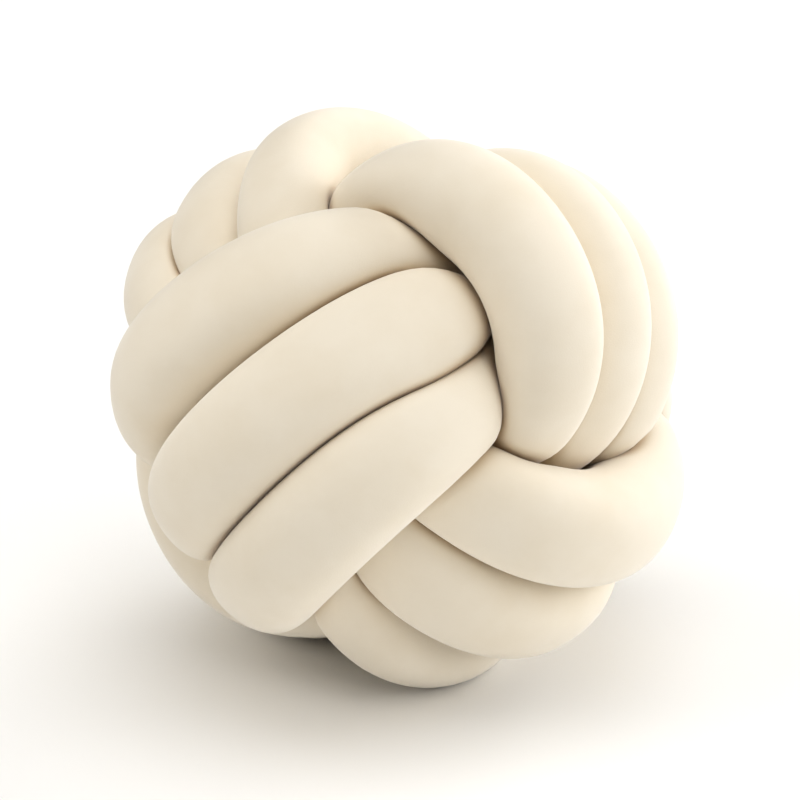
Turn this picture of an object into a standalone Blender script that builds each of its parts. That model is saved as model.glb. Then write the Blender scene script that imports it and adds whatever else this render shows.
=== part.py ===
"""Knot cushion: one long stuffed cloth tube wound and tucked into a ball.

The tube makes three coils, one round each axis of the ball, and each coil is three turns
lying side by side. Every bundle of three shows on two opposite faces of the ball and dives
under the next coil on two others, so the lay is that of a monkey's fist. Between coils the
tube crosses the core, and its two ends are joined, so the tube is one closed loop and one solid.
Metres, +Z up, resting on a small flat spot at the bottom.
"""

import math

import bpy
import numpy as np

# ---------------------------------------------------------------- driving dimensions
TUBE_RADIUS = 0.02627  # of the stuffed tube where it lies free on a face
HIDDEN_THINNING = 0.80  # the share of that radius left where a turn is squeezed under another
LINK_THINNING = 0.62  # and where the tube crosses the core
CLOTH_GAP = 0.0022  # open crease left between two turns that press together on a face
CORE_GAP = 0.0060  # and deep in the ball
FACE_DISTANCE = 0.115  # of a turn's centreline from the middle of the ball on a face
CORE_DISTANCE = 0.075  # and where it counts as deep in the ball
BEND_SHARE = 0.80  # the inner side of a bend stays within this share of the bend's radius
SMALLEST_RADIUS = 0.0060

# A turn's distance from its coil's axis at the angle t is the sum of term k times cos(2 k t).
MIDDLE_TURN = (0.08359, 0.04693, 0.00028, -0.00248)
SIDE_TURN = (0.09938, 0.02224, 0.00105, -0.00112)
SIDE_OFFSET = (0.03721, 0.01505, -0.00077, -0.00068)  # of a side turn along the coil's axis

# The tube steps from one lane to the next in a hidden quarter of each turn.
COIL_START = -45.0  # degrees
COIL_END = 945.0
LANE_STEPS = (270.0, 630.0)  # the middle of each step from lane to lane
STEP_HALF_WIDTH = 40.0
STEP_LIFT_HALF_WIDTH = 55.0  # stepping turns rise together off the core over this reach
STEP_SPREAD = 0.75  # and move apart by this share of their offset

# Where the tube crosses the core from the first coil to the second.
LINK_POINTS = (
    (-0.0476, -0.0183, 0.0006),
    (-0.0264, 0.0097, -0.0120),
    (-0.0206, 0.0287, -0.0292),
)

# How the plump strands on the faces differ by hand: coil, face of it, lane, then millimetres of
# rise from the core, slide along the coil's axis, swell of the radius and skew of the strand.
STRANDS = (
    # coil, face, lane, rise, slide, swell, skew
    (0, 1, 0, 6.6, -8.8, 4.1, 6.7),
    (0, 1, 1, 12.0, -12.4, 4.0, 3.8),
    (0, 1, 2, 3.4, -3.5, 4.8, -3.8),
    (0, -1, 0, 2.0, 0.0, 4.0, 0.0),
    (0, -1, 1, 2.0, 0.0, 4.0, 0.0),
    (0, -1, 2, 2.0, 0.0, 4.0, 0.0),
    (1, 1, 0, -6.0, -0.5, 0.0, -2.0),
    (1, 1, 1, 4.5, -4.5, -3.5, -8.0),
    (1, 1, 2, 7.4, -0.7, 1.1, 0.3),
    (1, -1, 0, 7.1, 2.8, 2.0, 2.8),
    (1, -1, 1, 0.0, 6.4, 3.0, 6.6),
    (1, -1, 2, -4.2, 6.6, -6.0, -0.3),
    (2, -1, 0, -1.5, -5.5, -7.0, 6.0),
    (2, -1, 1, -0.5, 2.5, 0.5, 9.5),
    (2, -1, 2, -4.5, 6.1, 2.6, 5.9),
    (2, 1, 0, 6.7, -2.6, 3.4, -1.4),
    (2, 1, 1, 2.6, -7.1, 3.4, -16.3),
    (2, 1, 2, 4.5, -4.8, -3.6, -6.5),
)

# How the strands differ where they tuck under the next bundle, at their onward (1) or earlier
# (-1) end, in the same millimetres.
TUCKS = (
    # coil, face, lane, end, rise, slide, swell
    (0, 1, 0, 1, -6.0, 1.0, -3.6),
    (0, 1, 0, -1, -7.7, 2.0, -0.5),
    (0, 1, 1, 1, 6.6, 2.5, 7.6),
    (0, 1, 2, 1, 0.6, 5.6, -3.7),
    (0, 1, 2, -1, -2.1, -1.1, -1.1),
    (1, 1, 0, -1, 8.0, 9.0, -3.0),
    (1, 1, 1, 1, -0.7, 6.0, -5.1),
    (1, 1, 1, -1, -3.9, 0.9, 11.0),
    (1, 1, 2, 1, -4.3, 1.9, -4.4),
    (1, 1, 2, -1, -12.8, 0.2, -6.4),
    (2, -1, 1, -1, 5.3, -1.7, 7.0),
    (2, -1, 2, 1, 5.2, 0.5, 11.1),
    (2, -1, 2, -1, -1.3, 2.1, -0.6),
    (2, 1, 0, 1, 7.6, 0.9, -4.2),
)

REST_TURN = (46.48, -11.11, -125.43)  # degrees about X, then Y, then Z, from coil axes to rest
FLAT_DEPTH = 0.0095  # the sagging bottom is this much flatter than the free ball

TUCK_PEAK = 4 / 27  # the highest value of cos(t)^2 sin(t)^4
COIL_STEP = 3.0  # degrees between a coil's path points
LINK_LEAD = 8  # path points from a coil's end to the one that steers the link's start
LINK_STEPS = 20  # samples between two of a link's points
PATH_POINTS = 1500  # along the whole tube, for the distances between turns
RINGS = 408
SIDES = 12
CLOSER_IN_BENDS = 1.2  # rings stand at most this much closer, times 1 + this, in a tight bend
BEND_SPAN = 4  # rings each way that a bend is measured over
OWN_LENGTH = 0.012  # along the tube, within which a ring isn't kept clear of its own tube
OWN_REACH = 3.0  # times the tube's radius, beyond which the tube counts as another turn
WIDER_SHARE = 0.3  # the most that a plumper turn pushes its neighbour back, of squared distance
TINY = 1e-6

CREAM = (0.85, 0.77, 0.63, 1.0)


def clear_scene():
    """Leaves nothing of the startup scene."""
    for old in list(bpy.data.objects):
        bpy.data.objects.remove(old, do_unlink=True)


def cosine_terms(terms, angle):
    """The sum of term k times cos(2 k angle)."""
    return sum(term * np.cos(2 * k * angle) for k, term in enumerate(terms))


def ease(x):
    """0 to 1 with level ends, for x from 0 to 1."""
    x = np.clip(x, 0.0, 1.0)
    return x * x * (3.0 - 2.0 * x)


def coil_path(coil):
    """The centreline and radius of one coil: three turns, stepping across three lanes."""
    degrees = np.arange(COIL_START, COIL_END + COIL_STEP / 2, COIL_STEP)
    angle = np.radians(degrees)
    lane = -1.0 + sum(
        ease((degrees - middle + STEP_HALF_WIDTH) / (2 * STEP_HALF_WIDTH))
        for middle in LANE_STEPS
    )
    lift = sum(
        np.cos(np.clip((degrees - middle) / STEP_LIFT_HALF_WIDTH, -1, 1) * math.pi / 2) ** 2
        for middle in LANE_STEPS
    )
    middle = cosine_terms(MIDDLE_TURN, angle)
    side = cosine_terms(SIDE_TURN, angle)
    share = lane**2 + (1 - lane**2) * lift
    distance = middle + share * (side - middle)
    along = lane * cosine_terms(SIDE_OFFSET, angle) * (1 + STEP_SPREAD * lift)
    radius = TUBE_RADIUS * (1 - (1 - HIDDEN_THINNING) * np.sin(angle) ** 6)
    turn = np.floor((degrees + 90) / 360).astype(int)
    for of_coil, face, of_lane, rise, slide, swell, skew in STRANDS:
        if of_coil != coil:
            continue
        on_face = np.maximum(0, face * np.cos(angle)) ** 2 * (turn == of_lane) / 1000
        distance = distance + rise * on_face
        along = along + (slide + skew * face * np.sin(angle)) * on_face
        radius = radius + swell * on_face
    for of_coil, face, of_lane, end, rise, slide, swell in TUCKS:
        if of_coil != coil:
            continue
        on_face = np.maximum(0, face * np.cos(angle)) ** 2 * (turn == of_lane) / 1000
        at_end = on_face * np.maximum(0, end * face * np.sin(angle)) ** 4 / TUCK_PEAK
        distance = distance + rise * at_end
        along = along + slide * at_end
        radius = radius + swell * at_end
    path = np.stack([distance * np.cos(angle), distance * np.sin(angle), along], axis=1)
    return np.roll(path, coil, axis=1), radius


def smooth_through(points, steps):
    """A centripetal Catmull-Rom curve from the second point to the last but one."""
    pieces = []
    for p0, p1, p2, p3 in zip(points, points[1:], points[2:], points[3:]):
        knots = np.cumsum([0.0] + [math.sqrt(np.linalg.norm(d)) for d in (p1 - p0, p2 - p1, p3 - p2)])
        k0, k1, k2, k3 = knots
        k = np.linspace(k1, k2, steps, endpoint=False)[:, None]
        a1 = (k1 - k) / (k1 - k0) * p0 + (k - k0) / (k1 - k0) * p1
        a2 = (k2 - k) / (k2 - k1) * p1 + (k - k1) / (k2 - k1) * p2
        a3 = (k3 - k) / (k3 - k2) * p2 + (k - k2) / (k3 - k2) * p3
        b1 = (k2 - k) / (k2 - k0) * a1 + (k - k0) / (k2 - k0) * a2
        b2 = (k3 - k) / (k3 - k1) * a2 + (k - k1) / (k3 - k1) * a3
        pieces.append((k2 - k) / (k2 - k1) * b1 + (k - k1) / (k2 - k1) * b2)
    return np.concatenate(pieces)


def whole_path():
    """The closed centreline of the tube with its radius: coil, link, coil, link, coil, link."""
    coils = [coil_path(coil) for coil in range(3)]
    paths = []
    radii = []
    for coil, (path, radius) in enumerate(coils):
        next_path, next_radius = coils[(coil + 1) % 3]
        through = np.roll(np.array(LINK_POINTS), coil, axis=1)
        before = path[-1 - LINK_LEAD][None]
        after = next_path[LINK_LEAD][None]
        ends = [before, path[-1:], through, next_path[:1], after]
        link = smooth_through(np.concatenate(ends), LINK_STEPS)
        part = np.linspace(0, 1, len(link))
        thinner = 1 - (1 - LINK_THINNING) * np.sqrt(np.sin(math.pi * part))
        paths += [path[:-1], link]
        radii += [radius[:-1], (radius[-1] * (1 - part) + next_radius[0] * part) * thinner]
    return np.concatenate(paths), np.concatenate(radii)


def at_rest(points):
    """The points turned from the coils' axes to the way the cushion rests."""
    x, y, z = (math.radians(degrees) for degrees in REST_TURN)
    about_x = np.array([[1, 0, 0], [0, math.cos(x), -math.sin(x)], [0, math.sin(x), math.cos(x)]])
    about_y = np.array([[math.cos(y), 0, math.sin(y)], [0, 1, 0], [-math.sin(y), 0, math.cos(y)]])
    about_z = np.array([[math.cos(z), -math.sin(z), 0], [math.sin(z), math.cos(z), 0], [0, 0, 1]])
    return points @ (about_z @ about_y @ about_x).T


def evenly(path, radius, weight, count):
    """count samples of a closed path, closer together where weight is higher."""
    closed = np.vstack([path, path[:1]])
    steps = np.linalg.norm(np.diff(closed, axis=0), axis=1)
    length = np.concatenate([[0], np.cumsum(steps)])
    measure = np.concatenate([[0], np.cumsum(steps * weight)])
    where = np.interp(np.linspace(0, measure[-1], count, endpoint=False), measure, length)
    points = np.stack([np.interp(where, length, closed[:, axis]) for axis in range(3)], axis=1)
    return points, np.interp(where, length, np.append(radius, radius[0])), where, length[-1]


def bend(path):
    """The curvature of a closed path at each of its evenly spaced points, in 1/m."""
    ahead = np.roll(path, -BEND_SPAN, axis=0) - path
    behind = path - np.roll(path, BEND_SPAN, axis=0)
    reach = np.linalg.norm(ahead, axis=1)
    ahead = ahead / reach[:, None]
    behind = behind / np.linalg.norm(behind, axis=1)[:, None]
    return np.linalg.norm(ahead - behind, axis=1) / reach


def section_axes(path):
    """Two directions across the tube at each ring, carried along it without twist, and closing."""
    ahead = np.roll(path, -1, axis=0) - np.roll(path, 1, axis=0)
    ahead = ahead / np.linalg.norm(ahead, axis=1)[:, None]
    across = np.empty_like(path)
    carried = np.cross(ahead[0], (0.0, 0.0, 1.0))
    for ring, direction in enumerate(np.vstack([ahead, ahead[:1]])):
        carried = carried - direction * carried.dot(direction)
        carried = carried / np.linalg.norm(carried)
        if ring < len(path):
            across[ring] = carried
    other = np.cross(ahead, across)
    left_over = math.atan2(carried.dot(other[0]), carried.dot(across[0]))
    turn = -left_over * np.arange(len(path)) / len(path)
    turned = across * np.cos(turn)[:, None] + other * np.sin(turn)[:, None]
    return turned, np.cross(ahead, turned)


def tube_rings():
    """RINGS by SIDES points: round sections, flattened where two turns press together."""
    path, radius = whole_path()
    path, radius, where, length = evenly(path, radius, np.ones(len(path)), PATH_POINTS)
    closer = 1 + np.minimum(CLOSER_IN_BENDS, TUBE_RADIUS * bend(path))
    centres, radii, along, _ = evenly(path, radius, closer, RINGS)
    across, other = section_axes(centres)
    side = np.arange(SIDES) * 2 * math.pi / SIDES
    rays = across[:, None] * np.cos(side)[:, None] + other[:, None] * np.sin(side)[:, None]
    reach = np.repeat(radii[:, None], SIDES, axis=1)
    depth = (FACE_DISTANCE - np.linalg.norm(centres, axis=1)) / (FACE_DISTANCE - CORE_DISTANCE)
    gap = CLOTH_GAP + (CORE_GAP - CLOTH_GAP) * ease(depth)
    for ring in range(RINGS):
        away = path - centres[ring]
        apart = np.abs(where - along[ring])
        near = np.minimum(apart, length - apart)
        squared = (away**2).sum(axis=1)
        along_ray = rays[ring] @ away.T
        ahead = along_ray > TINY
        along_ray = np.maximum(along_ray, TINY)
        most = WIDER_SHARE * squared
        heavier = np.clip(radii[ring] ** 2 - radius**2, -most, most)
        own = near <= OWN_REACH * TUBE_RADIUS
        halfway = (squared + heavier) / (2 * along_ray)
        inner = BEND_SHARE * squared / (2 * along_ray)
        pressed = np.where(ahead & ~own, halfway - gap[ring] / 2, 1.0).min(axis=1)
        folded = np.where(ahead & own & (near > OWN_LENGTH), inner, 1.0).min(axis=1)
        reach[ring] = np.minimum(reach[ring], np.minimum(pressed, folded))
    reach = np.maximum(reach, SMALLEST_RADIUS)
    points = centres[:, None] + rays * reach[:, :, None]
    return at_rest(points.reshape(-1, 3))


def stand_on_flat(points):
    """Flattens the bottom and puts the origin under the middle of the ball."""
    floor = points[:, 2].min() + FLAT_DEPTH
    points[:, 2] = np.maximum(points[:, 2], floor) - floor
    middle = (points.min(axis=0) + points.max(axis=0)) / 2
    points[:, :2] -= middle[:2]
    return points


def loop_faces():
    """Two triangles between each pair of neighbouring points of neighbouring rings."""
    ring, side = np.meshgrid(np.arange(RINGS), np.arange(SIDES), indexing="ij")
    next_ring = (ring + 1) % RINGS
    next_side = (side + 1) % SIDES
    a = ring * SIDES + side
    b = ring * SIDES + next_side
    c = next_ring * SIDES + next_side
    d = next_ring * SIDES + side
    triangles = np.stack([np.stack([a, b, c], -1), np.stack([a, c, d], -1)], axis=2)
    return triangles.reshape(-1, 3)


def cloth_material():
    """Plain cream stretch cloth with a soft nap."""
    material = bpy.data.materials.new("cream_cloth")
    material.use_nodes = True
    shader = material.node_tree.nodes["Principled BSDF"]
    shader.inputs["Base Color"].default_value = CREAM
    shader.inputs["Roughness"].default_value = 0.9
    shader.inputs["Metallic"].default_value = 0.0
    return material


def build():
    """Makes the one stuffed tube in its collection."""
    clear_scene()
    collection = bpy.data.collections.new("knot_cushion")
    bpy.context.scene.collection.children.link(collection)
    points = stand_on_flat(tube_rings())
    mesh = bpy.data.meshes.new("stuffed_tube")
    mesh.from_pydata(points.tolist(), [], loop_faces().tolist())
    mesh.update()
    mesh.shade_smooth()
    mesh.materials.append(cloth_material())
    tube = bpy.data.objects.new("stuffed_tube", mesh)
    collection.objects.link(tube)


build()
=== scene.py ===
"""Knot cushion: the finished look of one stuffed velvet tube wound and tucked into a ball.

The tube makes three coils, one round each axis of the ball. Each coil is three turns lying
side by side, which show as three plump strands on two opposite faces and dive under the next
coil on two others. Between coils the tube crosses the core, and it closes on itself.
"""

from __future__ import annotations

import logging
import math

from dataclasses import dataclass, field
from enum import Enum

import bpy
import numpy as np
from mathutils import Matrix, Vector

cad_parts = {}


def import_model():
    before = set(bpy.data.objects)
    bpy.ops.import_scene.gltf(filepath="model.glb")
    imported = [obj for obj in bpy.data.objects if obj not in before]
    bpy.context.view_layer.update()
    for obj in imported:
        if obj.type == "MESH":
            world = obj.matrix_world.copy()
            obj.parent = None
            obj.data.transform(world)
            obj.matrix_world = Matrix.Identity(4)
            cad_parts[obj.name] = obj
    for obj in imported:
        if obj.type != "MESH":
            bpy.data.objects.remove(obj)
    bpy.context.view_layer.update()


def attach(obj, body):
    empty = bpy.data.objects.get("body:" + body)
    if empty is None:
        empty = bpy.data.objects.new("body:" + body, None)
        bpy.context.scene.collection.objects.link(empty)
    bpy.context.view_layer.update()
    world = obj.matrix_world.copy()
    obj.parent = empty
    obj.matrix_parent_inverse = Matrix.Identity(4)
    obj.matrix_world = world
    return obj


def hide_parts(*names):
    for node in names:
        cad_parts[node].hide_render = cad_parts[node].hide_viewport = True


LOG = logging.getLogger("knot_cushion")
# The crease mark below is the mask for the shade painted into the creases.
CREASE_MARK = "crease"  # on the mesh: how near each point is to a crease
MM_PER_METRE = 1000
TUCK_PEAK = 4 / 27  # the highest value of cos(t)^2 sin(t)^4

Array = np.ndarray


class Coil(Enum):
    """The three coils, which wind round the three axes of the ball."""

    CROSS = 0
    ARCH = 1
    BAND = 2


class Face(Enum):
    """Which of a coil's two faces a strand shows on."""

    NEAR = 1
    FAR = -1


class Lane(Enum):
    """A strand's place among the three of its bundle, in winding order."""

    FIRST = 0
    SECOND = 1
    THIRD = 2


def ease(x: Array) -> Array:
    """Step from 0 to 1 with level ends: three times x squared less twice x cubed.

    Args:
        x: Positions, where 0 to 1 is the step and values outside are held.

    Returns:
        The eased values.
    """
    x = np.clip(x, 0.0, 1.0)
    return x * x * (3.0 - 2.0 * x)


def cosine_terms(terms: tuple[float, ...], angle: Array) -> Array:
    """Sum term k times the cosine of 2 k times the angle.

    Args:
        terms: The amplitudes, the constant one first.
        angle: Angles in radians.

    Returns:
        The sum at each angle.
    """
    return sum(term * np.cos(2 * k * angle) for k, term in enumerate(terms))


def unit(vectors: Array) -> Array:
    """Scale each vector to length one.

    Args:
        vectors: Rows of vectors.

    Returns:
        Rows of unit vectors.
    """
    return vectors / np.linalg.norm(vectors, axis=-1, keepdims=True)


@dataclass(frozen=True)
class Strand:
    """How one plump strand on a face differs from the even lay, in millimetres.

    The rise is away from the core, the slide along the coil's axis, the swell of the tube's
    radius, and the skew a slide that changes sign from one end of the strand to the other.
    """

    coil: Coil
    face: Face
    lane: Lane
    rise: float
    slide: float
    swell: float
    skew: float


STRANDS: tuple[Strand, ...] = (
    # coil, face, lane, rise, slide, swell, skew
    Strand(Coil.CROSS, Face.NEAR, Lane.FIRST, 6.6, -8.8, 4.1, 6.7),
    Strand(Coil.CROSS, Face.NEAR, Lane.SECOND, 12.0, -12.4, 4.0, 3.8),
    Strand(Coil.CROSS, Face.NEAR, Lane.THIRD, 3.4, -3.5, 4.8, -3.8),
    Strand(Coil.CROSS, Face.FAR, Lane.FIRST, 2.0, 0.0, 4.0, 0.0),
    Strand(Coil.CROSS, Face.FAR, Lane.SECOND, 2.0, 0.0, 4.0, 0.0),
    Strand(Coil.CROSS, Face.FAR, Lane.THIRD, 2.0, 0.0, 4.0, 0.0),
    Strand(Coil.ARCH, Face.NEAR, Lane.FIRST, -6.0, -0.5, 0.0, -2.0),
    Strand(Coil.ARCH, Face.NEAR, Lane.SECOND, 4.5, -4.5, -3.5, -8.0),
    Strand(Coil.ARCH, Face.NEAR, Lane.THIRD, 7.4, -0.7, 1.1, 0.3),
    Strand(Coil.ARCH, Face.FAR, Lane.FIRST, 7.1, 2.8, 2.0, 2.8),
    Strand(Coil.ARCH, Face.FAR, Lane.SECOND, 0.0, 6.4, 3.0, 6.6),
    Strand(Coil.ARCH, Face.FAR, Lane.THIRD, -4.2, 6.6, -6.0, -0.3),
    Strand(Coil.BAND, Face.FAR, Lane.FIRST, -1.5, -5.5, -7.0, 6.0),
    Strand(Coil.BAND, Face.FAR, Lane.SECOND, -0.5, 2.5, 0.5, 9.5),
    Strand(Coil.BAND, Face.FAR, Lane.THIRD, -4.5, 6.1, 2.6, 5.9),
    Strand(Coil.BAND, Face.NEAR, Lane.FIRST, 6.7, -2.6, 3.4, -1.4),
    Strand(Coil.BAND, Face.NEAR, Lane.SECOND, 2.6, -7.1, 3.4, -16.3),
    Strand(Coil.BAND, Face.NEAR, Lane.THIRD, 4.5, -4.8, -3.6, -6.5),
)


class End(Enum):
    """The end of a strand that the tube runs on to, or comes from."""

    ONWARD = 1
    EARLIER = -1


@dataclass(frozen=True)
class Tuck:
    """How a strand differs where it tucks under the next bundle, in the same millimetres."""

    coil: Coil
    face: Face
    lane: Lane
    end: End
    rise: float
    slide: float
    swell: float


TUCKS: tuple[Tuck, ...] = (
    # coil, face, lane, end, rise, slide, swell
    Tuck(Coil.CROSS, Face.NEAR, Lane.FIRST, End.ONWARD, -5.0, -5.5, -4.5),
    Tuck(Coil.CROSS, Face.NEAR, Lane.FIRST, End.EARLIER, -7.7, 2.0, -0.5),
    Tuck(Coil.CROSS, Face.NEAR, Lane.SECOND, End.ONWARD, 8.6, -5.0, 13.0),
    Tuck(Coil.CROSS, Face.NEAR, Lane.THIRD, End.ONWARD, 2.0, 2.5, -2.5),
    Tuck(Coil.CROSS, Face.NEAR, Lane.THIRD, End.EARLIER, -2.1, -1.1, -1.1),
    Tuck(Coil.ARCH, Face.NEAR, Lane.FIRST, End.EARLIER, 8.0, 9.0, -3.0),
    Tuck(Coil.ARCH, Face.NEAR, Lane.SECOND, End.ONWARD, -0.7, 6.0, -5.1),
    Tuck(Coil.ARCH, Face.NEAR, Lane.SECOND, End.EARLIER, -3.9, 0.9, 11.0),
    Tuck(Coil.ARCH, Face.NEAR, Lane.THIRD, End.ONWARD, -4.3, 1.9, -4.4),
    Tuck(Coil.ARCH, Face.NEAR, Lane.THIRD, End.EARLIER, -12.8, 0.2, -6.4),
    Tuck(Coil.BAND, Face.FAR, Lane.SECOND, End.EARLIER, 5.3, -1.7, 7.0),
    Tuck(Coil.BAND, Face.FAR, Lane.THIRD, End.ONWARD, 5.2, 0.5, 11.1),
    Tuck(Coil.BAND, Face.FAR, Lane.THIRD, End.EARLIER, -1.3, 2.1, -0.6),
    Tuck(Coil.BAND, Face.NEAR, Lane.FIRST, End.ONWARD, 7.6, 0.9, -4.2),
)


@dataclass(frozen=True)
class Route:
    """A closed centreline: its points, the tube's radius there, and the length up to each."""

    points: Array
    radius: Array
    along: Array
    length: float


@dataclass(frozen=True)
class KnotLay:
    """The way the tube is wound: three coils of three turns, and the links between them.

    The three cosine series give a turn's distance from its coil's axis, and a side turn's
    offset along it. The thinnings are the shares of the tube's radius left where a turn is
    squeezed under another and where a link crosses the core. Angles are in degrees.
    """

    tube_radius: float = 0.0259
    hidden_thinning: float = 0.80
    thinning_power: int = 12
    link_thinning: float = 0.62
    middle_turn: tuple[float, ...] = (0.08359, 0.04693, 0.00028, -0.00248)
    side_turn: tuple[float, ...] = (0.09938, 0.02224, 0.00105, -0.00112)
    side_offset: tuple[float, ...] = (0.03721, 0.01505, -0.00077, -0.00068)
    coil_start: float = -45.0
    coil_end: float = 945.0
    coil_step: float = 3.0
    lane_steps: tuple[float, ...] = (270.0, 630.0)
    step_half_width: float = 40.0
    lift_half_width: float = 55.0
    step_spread: float = 0.75
    link_lead: int = 8
    link_steps: int = 20
    link_points: tuple[tuple[float, float, float], ...] = (
        (-0.0476, -0.0183, 0.0006),
        (-0.0264, 0.0097, -0.0120),
        (-0.0206, 0.0287, -0.0292),
    )
    strands: tuple[Strand, ...] = STRANDS
    tucks: tuple[Tuck, ...] = TUCKS

    @staticmethod
    def on_face(angle: Array, place: Strand | Tuck) -> Array:
        """Find how much each point of a coil belongs to one strand on a face.

        The share is the squared cosine of the angle from the middle of the face, and none on
        the other two turns.

        Args:
            angle: The points' angles round the coil, in radians.
            place: The row that names the face and the lane.

        Returns:
            The shares, divided so that a row's millimetres come out in metres.
        """
        turn = np.floor((np.degrees(angle) + 90) / 360).astype(int)
        facing = np.maximum(0, place.face.value * np.cos(angle)) ** 2
        return facing * (turn == place.lane.value) / MM_PER_METRE

    def coil(self, coil: Coil) -> tuple[Array, Array]:
        """Wind one coil.

        In the plane across the coil's axis, the point at the angle t is the distance d(t) out,
        where d is a cosine series that blends from the middle turn's to the side turn's with
        the square of the lane. The lane runs from -1 to 1 and steps in a hidden quarter, where
        the turns also lift off the core by a squared cosine. A strand's differences fade
        with the squared cosine of t from the middle of its face, and a tuck's are that times
        the fourth power of the sine, divided by its peak.

        Args:
            coil: Which coil.

        Returns:
            Its centreline points and the tube's radius at each.
        """
        last = self.coil_end + self.coil_step / 2
        degrees = np.arange(self.coil_start, last, self.coil_step)
        angle = np.radians(degrees)
        width = self.step_half_width
        lane = -1.0 + sum(ease((degrees - at + width) / (2 * width)) for at in self.lane_steps)
        reach = self.lift_half_width
        lift = sum(
            np.cos(np.clip((degrees - at) / reach, -1, 1) * math.pi / 2) ** 2
            for at in self.lane_steps
        )
        middle = cosine_terms(self.middle_turn, angle)
        outer = cosine_terms(self.side_turn, angle)
        distance = middle + (lane**2 + (1 - lane**2) * lift) * (outer - middle)
        offset = lane * cosine_terms(self.side_offset, angle) * (1 + self.step_spread * lift)
        hidden = np.sin(angle) ** self.thinning_power
        radius = self.tube_radius * (1 - (1 - self.hidden_thinning) * hidden)
        for strand in self.strands:
            if strand.coil is not coil:
                continue
            share = self.on_face(angle, strand)
            skew = strand.skew * strand.face.value * np.sin(angle)
            distance = distance + strand.rise * share
            offset = offset + (strand.slide + skew) * share
            radius = radius + strand.swell * share
        for tuck in self.tucks:
            if tuck.coil is not coil:
                continue
            toward_end = tuck.end.value * tuck.face.value * np.sin(angle)
            at_end = self.on_face(angle, tuck) * np.maximum(0, toward_end) ** 4 / TUCK_PEAK
            distance = distance + tuck.rise * at_end
            offset = offset + tuck.slide * at_end
            radius = radius + tuck.swell * at_end
        points = np.stack([distance * np.cos(angle), distance * np.sin(angle), offset], axis=1)
        return np.roll(points, coil.value, axis=1), radius

    @staticmethod
    def link_curve(points: Array, steps: int) -> Array:
        """Run a centripetal Catmull-Rom curve from the second point to the last but one.

        Each stretch blends its four points with weights linear in a knot value that grows with
        the square root of the distance between points.

        Args:
            points: The points to pass through, and one beyond each end.
            steps: Samples for each stretch.

        Returns:
            The curve's points.
        """
        pieces = []
        for p0, p1, p2, p3 in zip(points, points[1:], points[2:], points[3:]):
            hops = [math.sqrt(np.linalg.norm(d)) for d in (p1 - p0, p2 - p1, p3 - p2)]
            k0, k1, k2, k3 = np.cumsum([0.0, *hops])
            k = np.linspace(k1, k2, steps, endpoint=False)[:, None]
            a1 = (k1 - k) / (k1 - k0) * p0 + (k - k0) / (k1 - k0) * p1
            a2 = (k2 - k) / (k2 - k1) * p1 + (k - k1) / (k2 - k1) * p2
            a3 = (k3 - k) / (k3 - k2) * p2 + (k - k2) / (k3 - k2) * p3
            b1 = (k2 - k) / (k2 - k0) * a1 + (k - k0) / (k2 - k0) * a2
            b2 = (k3 - k) / (k3 - k1) * a2 + (k - k1) / (k3 - k1) * a3
            pieces.append((k2 - k) / (k2 - k1) * b1 + (k - k1) / (k2 - k1) * b2)
        return np.concatenate(pieces)

    def whole(self) -> tuple[Array, Array]:
        """Join coil, link, coil, link, coil, link into one closed loop.

        Returns:
            The centreline points and the tube's radius at each.
        """
        coils = [self.coil(coil) for coil in Coil]
        points: list[Array] = []
        radii: list[Array] = []
        for index, (path, radius) in enumerate(coils):
            onward, onward_radius = coils[(index + 1) % len(coils)]
            through = np.roll(np.array(self.link_points), index, axis=1)
            before = path[-1 - self.link_lead]
            after = onward[self.link_lead]
            stops = np.vstack([before, path[-1], through, onward[0], after])
            link = self.link_curve(stops, self.link_steps)
            part = np.linspace(0, 1, len(link))
            thinner = 1 - (1 - self.link_thinning) * np.sqrt(np.sin(math.pi * part))
            points += [path[:-1], link]
            blend = radius[-1] * (1 - part) + onward_radius[0] * part
            radii += [radius[:-1], blend * thinner]
        return np.concatenate(points), np.concatenate(radii)


def spaced(points: Array, radius: Array, weight: Array, count: int) -> Route:
    """Sample a closed path anew, closer together where the weight is higher.

    Between any two samples lies the same sum of each short step's length times its weight.

    Args:
        points: The path's points.
        radius: The tube's radius at each.
        weight: How closely samples stand at each.
        count: How many samples to take.

    Returns:
        The new route.
    """
    closed = np.vstack([points, points[:1]])
    steps = np.linalg.norm(np.diff(closed, axis=0), axis=1)
    length = np.concatenate([[0], np.cumsum(steps)])
    measure = np.concatenate([[0], np.cumsum(steps * weight)])
    along = np.interp(np.linspace(0, measure[-1], count, endpoint=False), measure, length)
    samples = np.stack([np.interp(along, length, closed[:, axis]) for axis in range(3)], axis=1)
    radii = np.interp(along, length, np.append(radius, radius[0]))
    return Route(samples, radii, along, float(length[-1]))


def turn_matrix(degrees: tuple[float, float, float]) -> Array:
    """Turn about X, then Y, then Z.

    Args:
        degrees: The three angles.

    Returns:
        The 3 by 3 matrix.
    """
    x, y, z = (math.radians(value) for value in degrees)
    turn = Matrix.Rotation(z, 3, "Z") @ Matrix.Rotation(y, 3, "Y") @ Matrix.Rotation(x, 3, "X")
    return np.array(turn)


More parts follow.
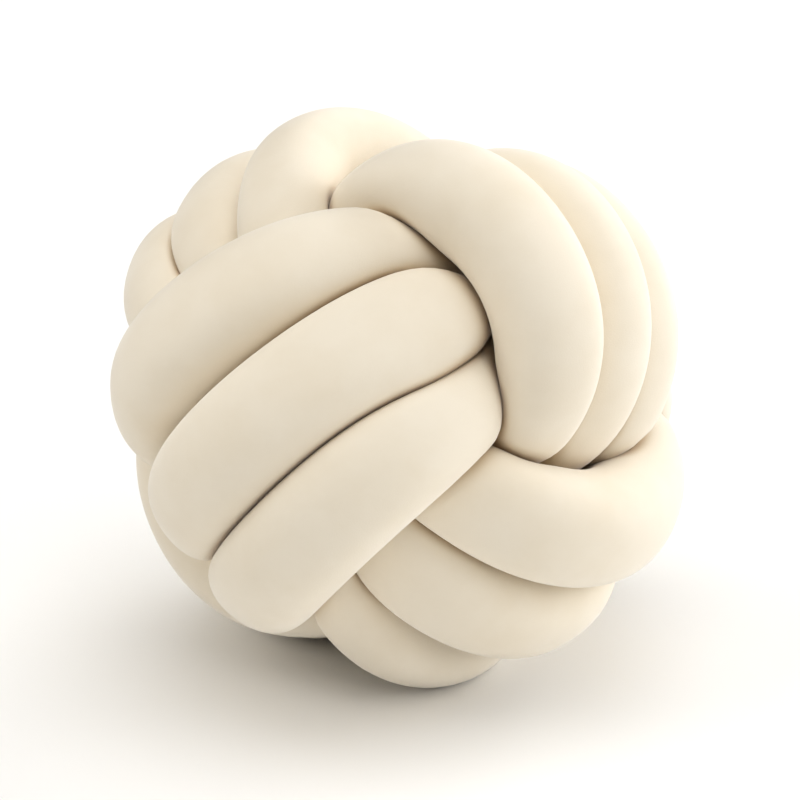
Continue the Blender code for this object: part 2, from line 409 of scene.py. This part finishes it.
@dataclass
class StuffedTube:
    """The one sewn and stuffed tube, pressed flat where its turns lie against each other.

    Two turns that press stay cloth_gap apart. Along the tube, own_length isn't kept clear of
    its own tube, and past own_reach radii the tube counts as another turn. Rings stand closer
    from core_distance outward. A wider turn pushes its neighbour back by at most wider_share
    of their squared distance. The ball turns by rest_turn and then moves to middle, where the
    CAD solid's middle is.
    """

    name: str = "velvet_tube"
    lay: KnotLay = field(default_factory=KnotLay)
    rings: int = 1240
    sides: int = 80
    path_points: int = 1600
    smoothing_rounds: int = 3
    core_distance: float = 0.070
    face_depth: float = 0.040
    core_closeness: float = 0.6
    cloth_gap: float = 0.0003
    crease_softness: float = 0.0014
    crease_width: float = 0.0170
    wider_share: float = 0.3
    fullness: float = 0.06
    bend_share: float = 0.86
    own_length: float = 0.010
    own_reach: float = 3.0
    smallest_radius: float = 0.0080
    far_off: float = 0.2
    tiny: float = 1e-6
    flat_softness: float = 0.0012
    flat_limit: float = 30.0
    rest_turn: tuple[float, float, float] = (46.48, -11.11, -125.43)
    middle: tuple[float, float, float] = (0.00066, 0.00331, 0.13870)

    def section_axes(self, points: Array) -> tuple[Array, Array]:
        """Carry two directions across the tube along it without twist, and close them.

        The twist left over after one lap is shared out evenly along the loop.

        Args:
            points: The centreline.

        Returns:
            The two unit directions at each point.
        """
        ahead = unit(np.roll(points, -1, axis=0) - np.roll(points, 1, axis=0))
        across = np.empty_like(points)
        carried = np.cross(ahead[0], (0.0, 0.0, 1.0))
        for ring, direction in enumerate(np.vstack([ahead, ahead[:1]])):
            carried = unit(carried - direction * carried.dot(direction))
            if ring < len(points):
                across[ring] = carried
        other = np.cross(ahead, across)
        left_over = math.atan2(carried.dot(other[0]), carried.dot(across[0]))
        turn = (-left_over * np.arange(len(points)) / len(points))[:, None]
        turned = across * np.cos(turn) + other * np.sin(turn)
        return turned, np.cross(ahead, turned)

    def reach(
        self, centre: Array, radius: float, near: Array, rays: Array, route: Route
    ) -> tuple[Array, Array]:
        """Find how far the cloth stands from the centreline along each ray of a section.

        The free tube is round, and fuller toward its two outer shoulders by a share that goes
        with the squared sine of twice the angle from outward. Against another turn it stops on
        the plane where the two turns' squared distances less squared radii are equal. On the
        inner side of a bend it stops at a share of the bend's radius. The limits blend by
        minus k times the logarithm of the sum of exp(-limit / k), taken along the other turn.

        Args:
            centre: The section's middle.
            radius: The free radius there.
            near: The distance along the tube from the section to each point of the route.
            rays: The section's unit directions.
            route: The whole centreline.

        Returns:
            The distance for each ray, and how much the other turns' limit counts in it.
        """
        axis = np.cross(rays[0], rays[len(rays) // 4])
        away = route.points - centre
        squared = (away**2).sum(axis=1)
        toward = rays @ away.T
        ahead = toward > self.tiny
        toward = np.maximum(toward, self.tiny)
        most = self.wider_share * squared
        wider = np.clip(radius**2 - route.radius**2, -most, most)
        own = near <= self.own_reach * self.lay.tube_radius
        halfway = (squared + wider) / (2 * toward) - self.cloth_gap / 2
        step = route.length / len(route.points) / self.crease_width
        k = self.crease_softness
        closeness = np.exp(-np.minimum(halfway, self.far_off) / k)
        pressed = np.where(ahead & ~own, closeness, 0.0).sum(axis=1) * step
        bending = ahead & own & (near > self.own_length)
        inner_side = self.bend_share * squared / (2 * toward)
        bend = np.where(bending, inner_side, self.far_off).min(axis=1)
        outward = centre - axis * centre.dot(axis)
        facing = np.maximum(0, rays @ (outward / np.linalg.norm(outward)))
        free = radius * (1 + self.fullness * 4 * facing**2 * (1 - facing**2))
        total = np.exp(-free / k) + pressed + np.exp(-bend / k)
        return -k * np.log(total), pressed / total

    def grid(self) -> tuple[Array, Array, Array]:
        """Work out the cloth's surface as rings of points.

        Each round of smoothing averages a point's reach with its neighbours', a quarter, a
        half and a quarter, first along the tube and then around it.

        Returns:
            The points, rings by sides by 3, how near each is to a crease, from 0 to 1, and
            the length along the tube at each ring.
        """
        points, radius = self.lay.whole()
        route = spaced(points, radius, np.ones(len(points)), self.path_points)
        beyond = np.linalg.norm(route.points, axis=1) - self.core_distance
        closeness = self.core_closeness + ease(beyond / self.face_depth)
        rings = spaced(route.points, route.radius, closeness, self.rings)
        across, other = self.section_axes(rings.points)
        angle = np.arange(self.sides) * 2 * math.pi / self.sides
        cosine = np.cos(angle)[None, :, None]
        sine = np.sin(angle)[None, :, None]
        rays = across[:, None] * cosine + other[:, None] * sine
        apart = np.abs(rings.along[:, None] - route.along[None])
        near = np.minimum(apart, route.length - apart)
        sections = [
            self.reach(centre, size, gap, fan, route)
            for centre, size, gap, fan in zip(rings.points, rings.radius, near, rays)
        ]
        reach = np.maximum(np.stack([section[0] for section in sections]), self.smallest_radius)
        crease = np.stack([section[1] for section in sections])
        for axis in (0, 1) * self.smoothing_rounds:
            reach = (np.roll(reach, 1, axis) + 2 * reach + np.roll(reach, -1, axis)) / 4
            crease = (np.roll(crease, 1, axis) + 2 * crease + np.roll(crease, -1, axis)) / 4
        surface = rings.points[:, None] + rays * reach[:, :, None]
        surface = surface @ turn_matrix(self.rest_turn).T + np.array(self.middle)
        surface[:, :, 2] = self.rested(surface[:, :, 2])
        return surface, crease, rings.along

    def rested(self, height: Array) -> Array:
        """Lift what would sink below the floor, so that the bottom is softly flattened.

        A height h becomes k times the logarithm of 1 plus exp(h / k), which is h itself when
        it is well above the floor.

        Args:
            height: The heights above the floor.

        Returns:
            The new heights, none below the floor.
        """
        share = height / self.flat_softness
        soft = np.log1p(np.exp(np.minimum(share, self.flat_limit)))
        return self.flat_softness * np.where(share > self.flat_limit, share, soft)

    def build(self) -> bpy.types.Object:
        """Put the surface into a closed mesh with a map along and around the tube.

        Returns:
            The new object.
        """
        surface, crease, along = self.grid()
        rings, sides = surface.shape[:2]
        ring, side = np.meshgrid(np.arange(rings), np.arange(sides), indexing="ij")
        ring_after = (ring + 1) % rings
        side_after = (side + 1) % sides
        around_face = [
            ring * sides + side,
            ring * sides + side_after,
            ring_after * sides + side_after,
            ring_after * sides + side,
        ]
        quads = np.stack(around_face, axis=-1).reshape(-1, 4)
        mesh = bpy.data.meshes.new(self.name)
        mesh.from_pydata(surface.reshape(-1, 3), [], quads)
        girth = 2 * math.pi * self.lay.tube_radius
        lengthwise = np.append(along, 2 * along[-1] - along[-2])
        around = np.arange(sides + 1) / sides * girth
        here = lengthwise[ring]
        next_ring = lengthwise[ring + 1]
        u = np.stack([here, here, next_ring, next_ring], axis=-1)
        left = around[side]
        right = around[side + 1]
        v = np.stack([left, right, right, left], axis=-1)
        layer = mesh.uv_layers.new(name="cloth")
        layer.data.foreach_set("uv", np.stack([u, v], axis=-1).astype(np.float32).ravel())
        # Store the crease nearness as the mask of the painted crease shade.
        mark = mesh.attributes.new(name=CREASE_MARK, type="FLOAT", domain="POINT")
        mark.data.foreach_set("value", crease.astype(np.float32).ravel())
        mesh.shade_smooth()
        mesh.update()
        tube = bpy.data.objects.new(self.name, mesh)
        bpy.context.scene.collection.objects.link(tube)
        return tube


@dataclass(frozen=True)
class Velvet:
    """Cream stretch velvet: a soft short nap, faint mottling, and a powdery edge.

    Noise scales are per metre. In the creases the colour turns to a brown shade, a painted shade
    that stands in for the shadow falling there.
    """

    name: str = "cream_velvet"
    colour: tuple[float, float, float] = (0.865, 0.785, 0.650)
    deeper: tuple[float, float, float] = (0.825, 0.735, 0.588)
    # Painted shade: the brown the creases turn to, which stands in for their shadow. crease_start
    # and crease_full set where it begins and where it is full.
    painted_crease_shade: tuple[float, float, float] = (0.60, 0.45, 0.27)
    crease_start: float = 0.15
    crease_full: float = 0.9
    roughness: float = 0.85
    specular: float = 0.25
    sheen: float = 0.45
    sheen_roughness: float = 0.45
    mottle_scale: float = 28.0
    mottle_detail: float = 4.0
    mottle_low: float = 0.25
    mottle_high: float = 0.60
    nap_scale: float = 1400.0
    nap_detail: float = 2.0
    nap_strength: float = 0.12
    nap_depth: float = 0.0006

    def material(self) -> bpy.types.Material:
        """Build the finish.

        Returns:
            The material.
        """
        material = bpy.data.materials.new(self.name)
        material.use_nodes = True
        tree = material.node_tree
        shader = tree.nodes["Principled BSDF"]
        shader.inputs["Roughness"].default_value = self.roughness
        shader.inputs["Sheen Weight"].default_value = self.sheen
        shader.inputs["Sheen Roughness"].default_value = self.sheen_roughness
        shader.inputs["Specular IOR Level"].default_value = self.specular
        place = tree.nodes.new("ShaderNodeTexCoord").outputs["Object"]
        cloth = self.mottled(tree, place)
        # Painted shade: darken the cloth brown toward the creases.
        shaded = self.paint_crease_shade(tree, cloth)
        tree.links.new(shaded, shader.inputs["Base Color"])
        tree.links.new(self.nap(tree, place), shader.inputs["Normal"])
        return material

    @staticmethod
    def noise(
        tree: bpy.types.NodeTree, place: bpy.types.NodeSocket, scale: float, detail: float
    ) -> bpy.types.NodeSocket:
        """Add a noise over the cloth.

        Args:
            tree: The material's nodes.
            place: The coordinates.
            scale: The noise's size, per metre.
            detail: How many finer layers it has.

        Returns:
            The noise's value.
        """
        noise = tree.nodes.new("ShaderNodeTexNoise")
        noise.inputs["Scale"].default_value = scale
        noise.inputs["Detail"].default_value = detail
        tree.links.new(place, noise.inputs["Vector"])
        return noise.outputs["Fac"]

    def mottled(
        self, tree: bpy.types.NodeTree, place: bpy.types.NodeSocket
    ) -> bpy.types.NodeSocket:
        """Vary the cloth's colour faintly from place to place.

        Args:
            tree: The material's nodes.
            place: The coordinates.

        Returns:
            The colour.
        """
        spread = tree.nodes.new("ShaderNodeMapRange")
        spread.inputs["From Min"].default_value = self.mottle_low
        spread.inputs["From Max"].default_value = self.mottle_high
        mottle = self.noise(tree, place, self.mottle_scale, self.mottle_detail)
        tree.links.new(mottle, spread.inputs["Value"])
        mix = tree.nodes.new("ShaderNodeMix")
        mix.data_type = "RGBA"
        mix.inputs["A"].default_value = (*self.deeper, 1.0)
        mix.inputs["B"].default_value = (*self.colour, 1.0)
        tree.links.new(spread.outputs["Result"], mix.inputs["Factor"])
        return mix.outputs["Result"]

    def paint_crease_shade(
        self, tree: bpy.types.NodeTree, cloth: bpy.types.NodeSocket
    ) -> bpy.types.NodeSocket:
        """Paint shade into the cloth: turn it brown where the mesh is marked as near a crease,
        standing in for the shadow there.

        Args:
            tree: The material's nodes.
            cloth: The cloth's colour.

        Returns:
            The colour with the painted crease shade.
        """
        mark = tree.nodes.new("ShaderNodeAttribute")
        mark.attribute_name = CREASE_MARK
        rise = tree.nodes.new("ShaderNodeMapRange")
        rise.interpolation_type = "SMOOTHSTEP"
        rise.inputs["From Min"].default_value = self.crease_start
        rise.inputs["From Max"].default_value = self.crease_full
        tree.links.new(mark.outputs["Fac"], rise.inputs["Value"])
        shade = tree.nodes.new("ShaderNodeMix")
        shade.data_type = "RGBA"
        shade.inputs["B"].default_value = (*self.painted_crease_shade, 1.0)
        tree.links.new(rise.outputs["Result"], shade.inputs["Factor"])
        tree.links.new(cloth, shade.inputs["A"])
        return shade.outputs["Result"]

    def nap(
        self, tree: bpy.types.NodeTree, place: bpy.types.NodeSocket
    ) -> bpy.types.NodeSocket:
        """Roughen the surface with a fine short nap.

        Args:
            tree: The material's nodes.
            place: The coordinates.

        Returns:
            The surface direction.
        """
        bump = tree.nodes.new("ShaderNodeBump")
        bump.inputs["Strength"].default_value = self.nap_strength
        bump.inputs["Distance"].default_value = self.nap_depth
        fibres = self.noise(tree, place, self.nap_scale, self.nap_detail)
        tree.links.new(fibres, bump.inputs["Height"])
        return bump.outputs["Normal"]


@dataclass(frozen=True)
class Lamp:
    """One wide, far soft light: its direction in degrees, its spread, strength and tint."""

    name: str
    azimuth: float
    elevation: float
    spread: float
    strength: float
    tint: tuple[float, float, float]


DAYLIGHT = (1.0, 1.0, 1.0)
WARM = (1.0, 0.965, 0.90)


@dataclass
class Studio:
    """A pale floor and backdrop, soft light and the camera. Angles are in degrees."""

    target: tuple[float, float, float]
    camera_elevation: float = 20.0
    camera_distance: float = 1.2606
    lens: float = 108.9
    shift: tuple[float, float] = (-0.0027, -0.0038)
    floor_radius: float = 14.0
    floor_corners: int = 96
    floor_below: float = 0.0002
    wall_glow: float = 0.75
    floor_colour: tuple[float, float, float] = (0.94, 0.937, 0.93)
    floor_roughness: float = 0.9
    sky: float = 0.03
    lamps: tuple[Lamp, ...] = (
        Lamp("overhead", 0.0, 88.0, 50.0, 1.45, DAYLIGHT),
        Lamp("front_high", 0.0, 42.0, 50.0, 0.38, WARM),
        Lamp("front_right", 45.0, 42.0, 50.0, 0.52, DAYLIGHT),
        Lamp("right", 90.0, 12.0, 50.0, 1.35, DAYLIGHT),
        Lamp("right_back", 135.0, 12.0, 50.0, 2.2, DAYLIGHT),
        Lamp("left", -90.0, 42.0, 50.0, 1.08, WARM),
    )

    def build(self) -> None:
        """Make the floor, backdrop, lights, surroundings and camera."""
        self.floor()
        self.backdrop()
        for lamp in self.lamps:
            self.light(lamp)
        self.surroundings()
        self.camera()

    def rim(self) -> Array:
        """Find the floor's corners, evenly round a circle.

        Returns:
            The corners, at height zero.
        """
        turn = np.arange(self.floor_corners) * 2 * math.pi / self.floor_corners
        circle = np.stack([np.cos(turn), np.sin(turn), np.zeros(len(turn))], axis=1)
        return circle * self.floor_radius

    def pale(self, name: str) -> bpy.types.Material:
        """Make the plain pale finish of the floor or the backdrop.

        Args:
            name: The material's name.

        Returns:
            The material.
        """
        material = bpy.data.materials.new(name)
        material.use_nodes = True
        shader = material.node_tree.nodes["Principled BSDF"]
        shader.inputs["Base Color"].default_value = (*self.floor_colour, 1.0)
        return material

    @staticmethod
    def stand(name: str, mesh: bpy.types.Mesh) -> bpy.types.Object:
        """Put a mesh in the scene as a part of the studio.

        Args:
            name: The object's name.
            mesh: Its mesh.

        Returns:
            The new object.
        """
        staged = bpy.data.objects.new(name, mesh)
        bpy.context.scene.collection.objects.link(staged)
        return staged

    def floor(self) -> None:
        """Lay a large round floor."""
        rim = self.rim() - (0.0, 0.0, self.floor_below)
        mesh = bpy.data.meshes.new("floor")
        mesh.from_pydata(rim, [], [list(range(len(rim)))])
        material = self.pale("pale_floor")
        shader = material.node_tree.nodes["Principled BSDF"]
        shader.inputs["Roughness"].default_value = self.floor_roughness
        mesh.materials.append(material)
        self.stand("floor", mesh)

    def backdrop(self) -> None:
        """Stand a pale wall round the floor's edge, which throws no light or shadow."""
        rim = self.rim()
        here = np.arange(len(rim))
        after = (here + 1) % len(rim)
        quads = np.stack([here, here + len(rim), after + len(rim), after], axis=1)
        mesh = bpy.data.meshes.new("backdrop")
        mesh.from_pydata(np.concatenate([rim, rim + (0.0, 0.0, self.floor_radius)]), [], quads)
        material = self.pale("pale_wall")
        shader = material.node_tree.nodes["Principled BSDF"]
        shader.inputs["Emission Color"].default_value = (1.0, 1.0, 1.0, 1.0)
        shader.inputs["Emission Strength"].default_value = self.wall_glow
        mesh.materials.append(material)
        wall = self.stand("backdrop", mesh)
        wall.visible_diffuse = False
        wall.visible_glossy = False
        wall.visible_shadow = False

    def light(self, lamp: Lamp) -> None:
        """Shine one soft light on the cushion.

        Azimuth 0 is in front of the cushion and 90 on its right.

        Args:
            lamp: Its direction, spread, strength and tint.
        """
        data = bpy.data.lights.new(lamp.name, "SUN")
        data.angle = math.radians(lamp.spread)
        data.energy = lamp.strength
        data.color = lamp.tint
        azimuth = math.radians(lamp.azimuth)
        elevation = math.radians(lamp.elevation)
        level = math.cos(elevation)
        toward = Vector((math.sin(azimuth) * level, -math.cos(azimuth) * level, math.sin(elevation)))
        hung = bpy.data.objects.new(lamp.name, data)
        hung.location = Vector(self.target) + toward * self.camera_distance
        hung.rotation_euler = toward.to_track_quat("Z", "Y").to_euler()
        bpy.context.scene.collection.objects.link(hung)

    def surroundings(self) -> None:
        """Light the scene evenly from all round, and show light values as they are."""
        world = bpy.data.worlds.new("studio")
        world.use_nodes = True
        sky = world.node_tree.nodes["Background"]
        sky.inputs["Color"].default_value = (1.0, 1.0, 1.0, 1.0)
        sky.inputs["Strength"].default_value = self.sky
        bpy.context.scene.world = world
        bpy.context.scene.view_settings.view_transform = "Standard"

    def camera(self) -> None:
        """Set the camera in front of the cushion, a little above it."""
        data = bpy.data.cameras.new("camera")
        data.lens = self.lens
        data.shift_x, data.shift_y = self.shift
        rise = math.radians(self.camera_elevation)
        back = Vector((0.0, -math.cos(rise), math.sin(rise)))
        camera = bpy.data.objects.new("camera", data)
        camera.location = Vector(self.target) + back * self.camera_distance
        camera.rotation_euler = (-back).to_track_quat("-Z", "Y").to_euler()
        bpy.context.scene.collection.objects.link(camera)
        bpy.context.scene.camera = camera


def main() -> None:
    """Load the frame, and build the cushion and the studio."""
    logging.basicConfig(level=logging.INFO, format="%(name)s: %(message)s")
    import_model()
    tube = StuffedTube()
    cushion = tube.build()
    cushion.data.materials.append(Velvet().material())
    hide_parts("stuffed_tube")
    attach(cushion, "root")
    LOG.info("%s: %d faces", cushion.name, len(cushion.data.polygons))
    Studio(target=tube.middle).build()


if __name__ == "__main__":
    main()
